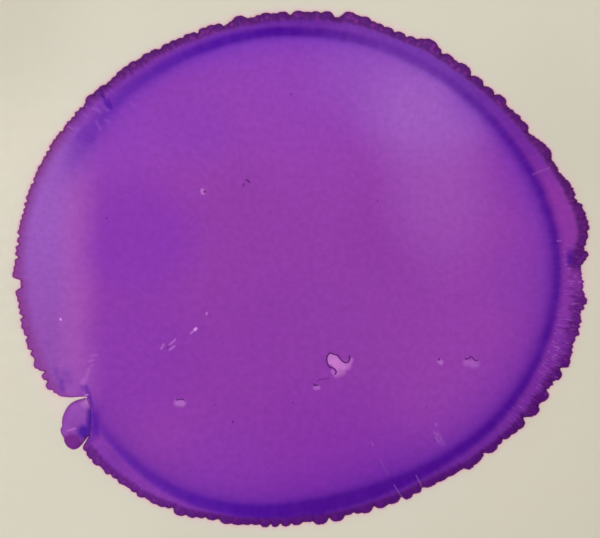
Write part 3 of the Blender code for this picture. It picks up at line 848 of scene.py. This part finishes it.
def all_lobes(rng):
    """The placed lobes, and small teeth along the even stretches."""
    entries = list(LOBES)
    for first, last, pitch, rise_first, rise_last in TEETH:
        angle = first
        while angle < last:
            along = (angle - first) / (last - first)
            rise = rise_first + (rise_last - rise_first) * along + rng.uniform(*TEETH_SCATTER)
            width = pitch * rng.uniform(*PITCH_SCATTER)
            entries.append((angle, TEETH_OVERLAP / LOBE_WIDENING * width, rise))
            angle += width
    return entries


def scallops(degrees, rng):
    """Rise of the lobed edge in mm, and how far each angle is down a valley, 0 to 1."""
    rise = read_ring(VALLEYS, degrees)
    top = rise + VALLEY_RIM
    for centre, width, lobe_top in all_lobes(rng):
        half_width = width * LOBE_WIDENING
        gap = (degrees - centre + 180) % 360 - 180
        across = np.clip(np.abs(gap) / half_width, 0, 1)
        round_top = (1 - across ** LOBE_ROUNDNESS) ** (1 / LOBE_ROUNDNESS)
        cap = lobe_top + LOBE_LIFT - LOBE_STEEPNESS * half_width * (1 - round_top)
        higher = (np.abs(gap) < half_width) & (cap > rise)
        top = np.where(higher, lobe_top + LOBE_LIFT, top)
        rise = np.where(higher, cap, rise)
    rise = 0.5 * rise + 0.25 * (np.roll(rise, 1) + np.roll(rise, -1))
    valley = np.clip((top - rise) / VALLEY_DEPTH, 0, 1)
    return rise + read_ring(EDGE_STEP, degrees), valley


def film_rows():
    """Depths of the rings from the edge inwards, in mm, fine at the edge."""
    fine = np.concatenate([[0, SEAM_WALL], np.linspace(0, FINE_DEPTH, FINE_RINGS)[1:]])
    middle = np.linspace(FINE_DEPTH, MIDDLE_DEPTH, MIDDLE_RINGS)[1:]
    inner = MIDDLE_DEPTH + INNER_SPAN * np.linspace(0, 1, INNER_RINGS)[1:] ** INNER_POWER
    return np.concatenate([fine, middle, inner])


def crowned(from_edge, ramp):
    """Thickness in mm that climbs from the edge and levels off after the ramp."""
    return FILM_THICKNESS * (1 - (1 - np.minimum(from_edge / ramp, 1)) ** CROWN_POWER)


def film_shape(rng):
    """Radius, height and masks of the pool on a grid of rings by angles."""
    degrees = np.arange(FILM_STEPS) * 360 / FILM_STEPS

    def at(table, blur=2):
        return around(table, degrees, blur)

    slow = slow_outline(degrees)
    rise, valley = scallops(degrees, rng)
    jag = rng.normal(0, 1, FILM_STEPS)
    jag = 0.5 * jag + 0.5 * np.roll(jag, 1)
    rise = rise - at(JAGS) * (np.abs(jag) * 1.6 - 0.8)
    edge = slow + rise
    torn = np.interp(degrees, list(TEAR), list(TEAR.values()))
    in_tear = (degrees > min(TEAR)) & (degrees < max(TEAR))
    edge = np.where(in_tear, np.minimum(edge, torn), edge)
    tear = np.where(in_tear, slow - edge, 0)
    rise = np.where(in_tear, 0, edge - slow)

    depth = film_rows()[:, None]
    lobe_fade = np.clip(1 - depth / LOBE_REACH, 0, 1) ** 1.5
    tear_fade = np.clip(1 - depth / TEAR_REACH, 0, 1)
    radius = slow - depth + rise * lobe_fade - tear * tear_fade
    inside = slow - radius
    from_edge = edge - radius

    softness = at(RIM_SOFTNESS)
    ragged = rng.normal(0, 1, FILM_STEPS)
    ragged = 0.5 * (ragged + np.roll(ragged, 1)) * at(STREAKS) * RIM_RAGGEDNESS
    rim_inner = at(RIM_DEPTH, 1.2) - RIM_FOLLOWS * np.clip(rise, -0.5, 0.5) + ragged
    rim_strength = at(RIM_STRENGTH, 1)
    rim = smoothstep(softness, -softness, inside - rim_inner) * rim_strength
    groove = valley * smoothstep(0.6, 0.1, from_edge) * rim_strength

    offset = inside - at(BAND_DEPTH)
    beyond = np.maximum(np.abs(offset) - at(BAND_CORE), 0)
    reach = np.where(offset > 0, at(BAND_INSIDE), at(BAND_OUTSIDE))
    wash = at(WASH_SHARE, 4) * np.exp(-(beyond / at(WASH_REACH)) ** 1.4)
    band = at(BAND_STRENGTH) * np.exp(-(beyond / reach) ** 1.5)
    band = np.maximum(band, at(MID_DARK) * smoothstep(0.3, -0.3, offset))
    for place, slant, stray_depth, length, width, strength in STRAYS:
        across = (degrees - place - slant * (inside - stray_depth)) / width
        along = smoothstep(1, 0.5, np.abs(inside - stray_depth) / length)
        band = np.maximum(band, strength * np.exp(-across ** 2) * along)
    seam = np.exp(-((degrees - SEAM_MIDDLE) / SEAM_SPREAD) ** 4) * np.exp(-(from_edge / 0.9) ** 1.2)
    band = np.maximum(band, SEAM_STRENGTH * seam)
    for start, end, width, strength in DARK_STROKES:
        away = distance_to_line(radius, degrees, start, end)
        band = np.maximum(band, strength * np.exp(-(away / width) ** 2))
    mid = smoothstep(0.2, -0.5, offset) * (1 - rim) * at(MID_STRENGTH)

    against_lobe = (degrees > SEAM_FROM) & (degrees < SEAM_TO)
    thickness = crowned(from_edge, np.where(against_lobe, SEAM_WALL, FILM_RAMP))
    thickness += RIM_RISE * rim * (1 - valley) - GROOVE_DROP * groove
    thickness += BAND_RISE * band - MID_DROP * mid
    thickness = np.where(from_edge <= 1e-6, 0, np.maximum(thickness, LEAST_THICKNESS))
    masks = {
        "band": band, "wash": wash * smoothstep(-0.6, 0, offset), "rim": rim,
        "outline": smoothstep(0.34, 0.06, from_edge) * rim_strength, "groove": groove,
        "bead": at(BEADS) * smoothstep(0.1, 0.35, from_edge) * (1 - 0.7 * valley), "mid": mid,
        "warm": at(WARMTH) * np.ones_like(inside),
        "streak": at(STREAKS) * smoothstep(-0.2, -0.9, offset) * smoothstep(0.2, 0.5, from_edge),
        "painted_edge_light": smoothstep(PAINTED_EDGE_LIGHT_WIDTH, 0, from_edge),
    }
    return degrees, radius, thickness, masks


def distance_to_line(radius, degrees, start, end):
    """Distance in mm of every grid point from the line between two points."""
    x = radius * np.cos(np.radians(degrees)) - start[0]
    y = radius * np.sin(np.radians(degrees)) - start[1]
    way = np.subtract(end, start)
    along = np.clip((x * way[0] + y * way[1]) / (way @ way), 0, 1)
    return np.hypot(x - along * way[0], y - along * way[1])


def ring_solid(name, degrees, radius, thickness, floor):
    """A closed solid from rings of points: crowned above, flat below."""
    rings, count = radius.shape
    angle = np.radians(degrees)
    top = [radius * np.cos(angle) * MM, radius * np.sin(angle) * MM, floor + thickness * MM]
    top = np.stack(top, axis=-1).reshape(-1, 3)
    verts = np.concatenate([top, [[0, 0, floor + thickness[-1].mean() * MM], [0, 0, floor]]])
    centre = rings * count
    step = np.arange(count)
    after = (step + 1) % count
    faces = []
    for ring in range(rings - 1):
        out = ring * count
        inn = out + count
        faces += np.stack([out + step, out + after, inn + after, inn + step], axis=-1).tolist()
    last = (rings - 1) * count
    faces += [(last + a, last + b, centre) for a, b in zip(step, after)]
    faces += [(b, a, centre + 1) for a, b in zip(step, after)]
    return mesh_of(name, verts, faces)


def mesh_of(name, verts, faces):
    mesh = bpy.data.meshes.new(name)
    mesh.from_pydata(verts.tolist(), [], faces)
    mesh.validate()
    return mesh


def set_mask(mesh, name, values):
    """Store one number for each of the mesh's points."""
    layer = mesh.attributes.new(name, 'FLOAT', 'POINT')
    layer.data.foreach_set("value", values.astype(np.float32))


def film_body(g):
    """The film's slow colours, away from its edge."""
    cloud = g.noise(55, 2)
    body = g.mix(g.span(cloud, 0.38, 0.62), dyed(141, 61, 164), dyed(145, 64, 168))
    for centre, inner, outer, strength, tint in TINTS:
        body = g.tint(body, g.spot(centre, inner, outer - inner), strength, dyed(*tint))
    x, y = g.x_and_y()
    wander = g.math('MULTIPLY_ADD', g.noise(90, 3, 0.6), 3 * MM, -1.5 * MM)
    x = g.math('ADD', x, wander)
    # Painted reflection: a soft lavender band on the film near its edge at negative x, in the colours below.
    painted_reflection_zone = g.span(x, -19.9 * MM, -24.6 * MM)
    painted_reflection_zone = g.times(painted_reflection_zone, g.span(y, -15 * MM, -12.5 * MM))
    painted_reflection_zone = g.times(painted_reflection_zone, g.span(y, 19.5 * MM, 11.5 * MM))
    outer = g.mix(g.span(y, 6 * MM, -9 * MM), dyed(149, 88, 186), dyed(143, 77, 172))
    inner = g.mix(g.span(y, 6 * MM, 13 * MM), dyed(160, 84, 178), dyed(138, 76, 182))
    lavender = g.mix(g.span(x, -22.6 * MM, -26.2 * MM), inner, outer)
    return g.tint(body, painted_reflection_zone, 0.95, lavender)


def pale_marks(g, colour, marks, pale):
    shares = [g.times(g.stroke(*line), strength) for *line, strength in marks]
    return g.mix(g.most(shares), colour, pale)


def colour_material():
    """Setting hair colour: violet body, blue-violet band, plum lobes, and a painted lavender reflection near
    the edge at negative x.
    """
    g = Graph("violet_colour")
    band, wash, rim, outline, groove, bead, mid, warm, streak, painted_edge_light = map(g.attribute, FILM_MASKS)
    x, y = g.x_and_y()
    leftward = g.span(x, 4 * MM, -10 * MM)
    upward = g.span(y, -8 * MM, 12 * MM)
    lines = g.noise(1, 3, 0.6, g.radial(70, 240))
    fine_lines = g.noise(1, 2, 0.6, g.radial(230, 600))
    patches = g.noise(1, 3, 0.6, g.radial(24, 420))
    dashes = g.noise(1, 2, 0.6, g.radial(190, 1300), 0.5)
    pale_lines = g.times(g.span(dashes, 0.55, 0.7), streak)
    dark_lines = g.times(g.span(fine_lines, 0.44, 0.28), streak)

    colour = g.mix(wash, film_body(g), g.mix(upward, dyed(74, 16, 158), dyed(92, 44, 186)))
    colour = g.tint(colour, mid, 0.9, g.mix(warm, dyed(116, 60, 176), dyed(142, 54, 160)))
    uneven = g.math('MULTIPLY_ADD', lines, 0.25, g.math('MULTIPLY_ADD', patches, 0.55, 0.6))
    dark = g.math('MULTIPLY', band, uneven, clamp=True)
    colour = g.mix(dark, colour, g.mix(leftward, dyed(76, 12, 140), dyed(76, 16, 154)))
    colour = g.tint(colour, pale_lines, 0.55, dyed(172, 104, 204))
    colour = g.tint(colour, dark_lines, 0.45, dyed(80, 18, 130))

    cells = g.new('ShaderNodeTexVoronoi', {"Vector": g.place, "Scale": 1600})
    pearl = g.span(cells.outputs["Distance"], 0.55, 0.15)
    dark_plum = g.mix(upward, dyed(62, 12, 98), dyed(68, 26, 92))
    light_plum = g.mix(upward, dyed(86, 24, 120), dyed(92, 42, 112))
    plum = g.mix(g.span(fine_lines, 0.35, 0.65), dark_plum, light_plum)
    plum = g.mix(0.4, plum, g.mix(warm, dyed(84, 26, 122), dyed(90, 24, 112)))
    plum = g.tint(plum, pearl, bead, dyed(124, 44, 134))
    rosy_tone = g.mix(g.span(y, 4 * MM, 9 * MM), dyed(132, 50, 124), dyed(121, 43, 108))
    plum = g.tint(plum, g.span(x, -22.4 * MM, -25.2 * MM), 0.85, rosy_tone)
    colour = g.mix(rim, colour, plum)
    colour = g.tint(colour, g.times(pale_lines, rim), 0.35, dyed(170, 100, 170))
    colour = g.tint(colour, groove, 0.7, dyed(78, 20, 92))
    colour = g.tint(colour, outline, 0.5, g.mix(upward, dyed(64, 14, 82), dyed(70, 30, 84)))
    # Painted light: the film's outermost edge is lightened to pink, against the shade of its steep side.
    colour = g.tint(colour, painted_edge_light, 0.75, dyed(168, 92, 152))
    # Some pale marks are painted highlights, as noted in PALE_MARKS.
    colour = pale_marks(g, colour, PALE_MARKS, dyed(216, 146, 230))
    colour = pale_marks(g, colour, PALE_PATCH, dyed(198, 122, 204))

    ridges = g.bump(g.times(fine_lines, g.math('MAXIMUM', streak, rim)), 0.04 * MM, 0.5)
    beads = g.bump(g.times(pearl, rim), 0.06 * MM, 0.5, ridges)
    skin = g.bump(g.noise(700, 3, 0.55), 0.02 * MM, 0.35, beads)
    return g.surface(g.specked(colour), g.span(g.noise(120), 0.3, 0.7, 0.44, 0.52), FILM_SPECULAR, skin)


def pool():
    """The pool's piece; gives its edge as angles and radii in mm."""
    degrees, radius, thickness, masks = film_shape(np.random.default_rng(SEED))
    mesh = ring_solid("pool", degrees, radius, thickness, FLOOR_TOP + FILM_LIFT)
    for name in FILM_MASKS:
        set_mask(mesh, name, np.append(masks[name], [0, 0]))
    smooth_shading(mesh, 60)
    mesh.materials.append(colour_material())
    piece = add_object("pool", mesh)
    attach(piece, "root")
    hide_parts("colour_film")
    return degrees, radius[0]


def stain(edge_degrees, edge_radius):
    """Dyed fringe of the bowl's floor just outside the pool, as a thin closed ring."""
    steps = np.array(STAIN_STEPS)[:, None]
    radius = edge_radius + steps
    share = 0.8 * np.exp(-np.maximum(steps, 0) / STAIN_REACH) * smoothstep(0.45, 0.25, steps)
    share = share * np.ones_like(radius)
    count = len(edge_degrees)
    angle = np.radians(edge_degrees)
    rings = []
    for ring, height in [(r, STAIN_TOP) for r in radius] + [(r, STAIN_BOTTOM) for r in radius[::-1]]:
        z = np.full(count, FLOOR_TOP + height * MM)
        rings.append(np.stack([ring * np.cos(angle) * MM, ring * np.sin(angle) * MM, z], axis=-1))
    step = np.arange(count)
    after = (step + 1) % count
    faces = []
    for ring in range(len(rings)):
        a = ring * count
        b = (ring + 1) % len(rings) * count
        faces += np.stack([a + step, b + step, b + after, a + after], axis=-1).tolist()
    mesh = mesh_of("floor_stain", np.concatenate(rings), faces)
    set_mask(mesh, "stain", np.concatenate([share, share[::-1]]).ravel())
    mesh.materials.append(ivory_material("dyed_polypropylene", "stain"))
    piece = add_object("floor_stain", mesh)
    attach(piece, "root")


# ---- wrinkles
def smooth_line(points, per_span):
    """Points of a smooth open curve through the given ones."""
    padded = np.array([points[0], *points, points[-1]])
    line = []
    for i in range(len(points) - 1):
        line += [between(*padded[i:i + 4], j / per_span) for j in range(per_span)]
    return np.array([*line, points[-1]])


def wrinkle_material():
    """Dark plum where the skin of the colour is folded on itself."""
    g = Graph("folded_colour")
    tone = g.noise(2500, 3, 0.6)
    colour = g.mix(tone, dyed(78, 18, 102), dyed(104, 34, 124))
    return g.surface(colour, g.span(tone, 0.3, 0.7, 0.45, 0.6), 0.2, g.bump(tone, 0.01 * MM, 0.5))


def wrinkles():
    """Fine raised folds and dots on the pool, half sunk in its skin."""
    top = FLOOR_TOP + FILM_LIFT + FILM_THICKNESS * MM
    curve = new_curve("wrinkles", '3D', 1 * MM, 3)
    curve.use_fill_caps = True
    for size, points in WRINKLES:
        line = smooth_line(points, 5)
        spline = curve.splines.new('POLY')
        spline.points.add(len(line) - 1)
        for i, (x, y) in enumerate(line):
            taper = min(1, 0.35 + 0.3 * min(i, len(line) - 1 - i))
            spline.points[i].co = (x * MM, y * MM, top, 1)
            spline.points[i].radius = size * taper
    mesh = baked(add_object("wrinkles", curve))
    bm = bmesh.new()
    bm.from_mesh(mesh)
    for (x, y), size in DOTS:
        place = Matrix.Translation((x * MM, y * MM, top)) @ Matrix.Diagonal(DOT_SHAPE)
        bmesh.ops.create_icosphere(bm, subdivisions=3, radius=size * MM, matrix=place)
    bmesh.ops.remove_doubles(bm, verts=bm.verts, dist=WELD_REACH)
    bm.to_mesh(mesh)
    bm.free()
    mesh.shade_smooth()
    mesh.materials.append(wrinkle_material())
    piece = add_object("wrinkles", mesh)
    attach(piece, "root")


# ---- loose lobe
def flap_outline(per_span, edge_degrees, edge_radius):
    """A smooth closed curve in mm, kept just clear of the pool's torn edge."""
    points = np.array(FLAP_OUTLINE)
    count = len(points)
    curve = []
    for i in range(count):
        four = [points[(i + k) % count] for k in (-1, 0, 1, 2)]
        curve += [between(*four, j / per_span) for j in range(per_span)]
    curve = np.array(curve)
    angle = np.degrees(np.arctan2(curve[:, 1], curve[:, 0])) % 360
    radius = np.hypot(curve[:, 0], curve[:, 1])
    limit = np.interp(angle, edge_degrees, edge_radius) + FLAP_GAP
    held = np.maximum(radius, limit)
    return curve * (held / radius)[:, None], radius < limit + FLAP_NEAR


def flap_material():
    """Thin lavender skin with a plum edge, a plum lower lobe and a blue-violet root."""
    g = Graph("lavender_colour")
    cloud = g.noise(300, 3)
    colour = g.mix(g.span(cloud, 0.35, 0.65), dyed(138, 66, 168), dyed(147, 77, 176))
    colour = g.tint(colour, g.spot((-23.85, -18.3), 0.75, 0.6), 0.85, dyed(108, 31, 127))
    root = g.most([g.stroke((-22.55, -17.05), (-21.8, -17.35), 0.32, 0.85),
                   g.stroke((-22, -16.8), (-21.75, -15), 0.12, 0.75)])
    colour = g.tint(colour, root, 0.92, dyed(66, 14, 146))
    # Painted highlight at the lobe's top, beside the gap.
    colour = g.tint(colour, g.spot((-22.4, -13.9), 0.15, 0.8), 0.5, dyed(188, 122, 200))
    line = g.stroke((-24.3, -16.95), (-23.5, -16.7), 0.02, 0.12)
    colour = g.tint(colour, line, 0.6, dyed(184, 108, 198))
    colour = g.tint(colour, g.attribute("edge"), 0.35, dyed(112, 44, 128))
    # Painted light: the lobe's outermost edge is lightened to pink, against the shade of its steep side.
    colour = g.tint(colour, g.attribute("painted_edge_light"), 0.75, dyed(176, 100, 168))
    skin = g.bump(g.noise(900, 3), 0.02 * MM, 0.4)
    return g.surface(g.specked(colour), g.span(cloud, 0.3, 0.7, 0.44, 0.52), FILM_SPECULAR, skin)


def loose_lobe(edge_degrees, edge_radius):
    outline, against = flap_outline(14, edge_degrees, edge_radius)
    centre = np.array(FLAP_CENTRE)
    steps = np.concatenate([[0, 0.009], np.linspace(0, 1, FLAP_RINGS)[1:] ** 1.15])
    shares = 1 - 0.995 * steps[:, None]
    span = np.hypot(*(outline - centre).T)
    from_edge = (1 - shares) * span
    thickness = crowned(from_edge, np.where(against, SEAM_WALL, FLAP_RAMP))
    angles = np.degrees(np.arctan2(*(outline - centre).T[::-1]))
    mesh = ring_solid("loose_lobe", angles, shares * span, thickness, FLOOR_TOP + FILM_LIFT)
    for name, low, high in (("edge", 0.32, 0.08), ("painted_edge_light", PAINTED_EDGE_LIGHT_WIDTH, 0)):
        set_mask(mesh, name, np.append(smoothstep(low, high, from_edge) * ~against, [0, 0]))
    mesh.transform(Matrix.Translation((centre[0] * MM, centre[1] * MM, 0)))
    smooth_shading(mesh, 60)
    mesh.materials.append(flap_material())
    piece = add_object("loose_lobe", mesh)
    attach(piece, "root")
    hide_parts("colour_flap")


# ---- stage
def stage():
    bpy.ops.mesh.primitive_plane_add(size=6, location=(0, 0, -0.2 * MM))
    floor = bpy.context.object
    floor.name = "stage_floor"
    g = Graph("stage_floor")
    colour = g.mix(g.noise(3, 2), rgb8(226, 224, 220), rgb8(232, 230, 226))
    floor.data.materials.append(g.surface(colour, 0.7))


def area_light(name, place, size, power, colour):
    data = bpy.data.lights.new(name, 'AREA')
    data.shape = 'DISK'
    data.size = size
    data.energy = power
    data.color = colour
    light = add_object(name, data)
    light.location = place
    light.rotation_euler = (-light.location).to_track_quat('-Z', 'Y').to_euler()


def lights():
    area_light("key", (-0.4, 0.02, 0.85), 0.55, 4.9, (1, 1, 0.995))
    area_light("fill", (0.55, -0.35, 0.6), 0.6, 1.8, (1, 1, 1))
    world = bpy.data.worlds.new("studio")
    world.use_nodes = True
    background = world.node_tree.nodes["Background"]
    background.inputs[0].default_value = (1, 0.995, 0.985, 1)
    background.inputs[1].default_value = 0.31
    bpy.context.scene.world = world
    bpy.context.scene.view_settings.view_transform = 'Standard'


def camera():
    """From straight above, with the pool's top filling FRAME_WIDTH."""
    data = bpy.data.cameras.new("camera")
    data.lens = LENS_MM
    data.sensor_width = SENSOR_MM
    data.clip_start = 1 * MM
    eye = add_object("camera", data)
    distance = FRAME_WIDTH * LENS_MM / SENSOR_MM
    eye.location = (*FRAME_CENTRE, FLOOR_TOP + FILM_THICKNESS * MM + distance)
    bpy.context.scene.camera = eye


bowl()
pad()
edge_degrees, edge_radius = pool()
stain(edge_degrees, edge_radius)
wrinkles()
loose_lobe(edge_degrees, edge_radius)
stage()
lights()
camera()
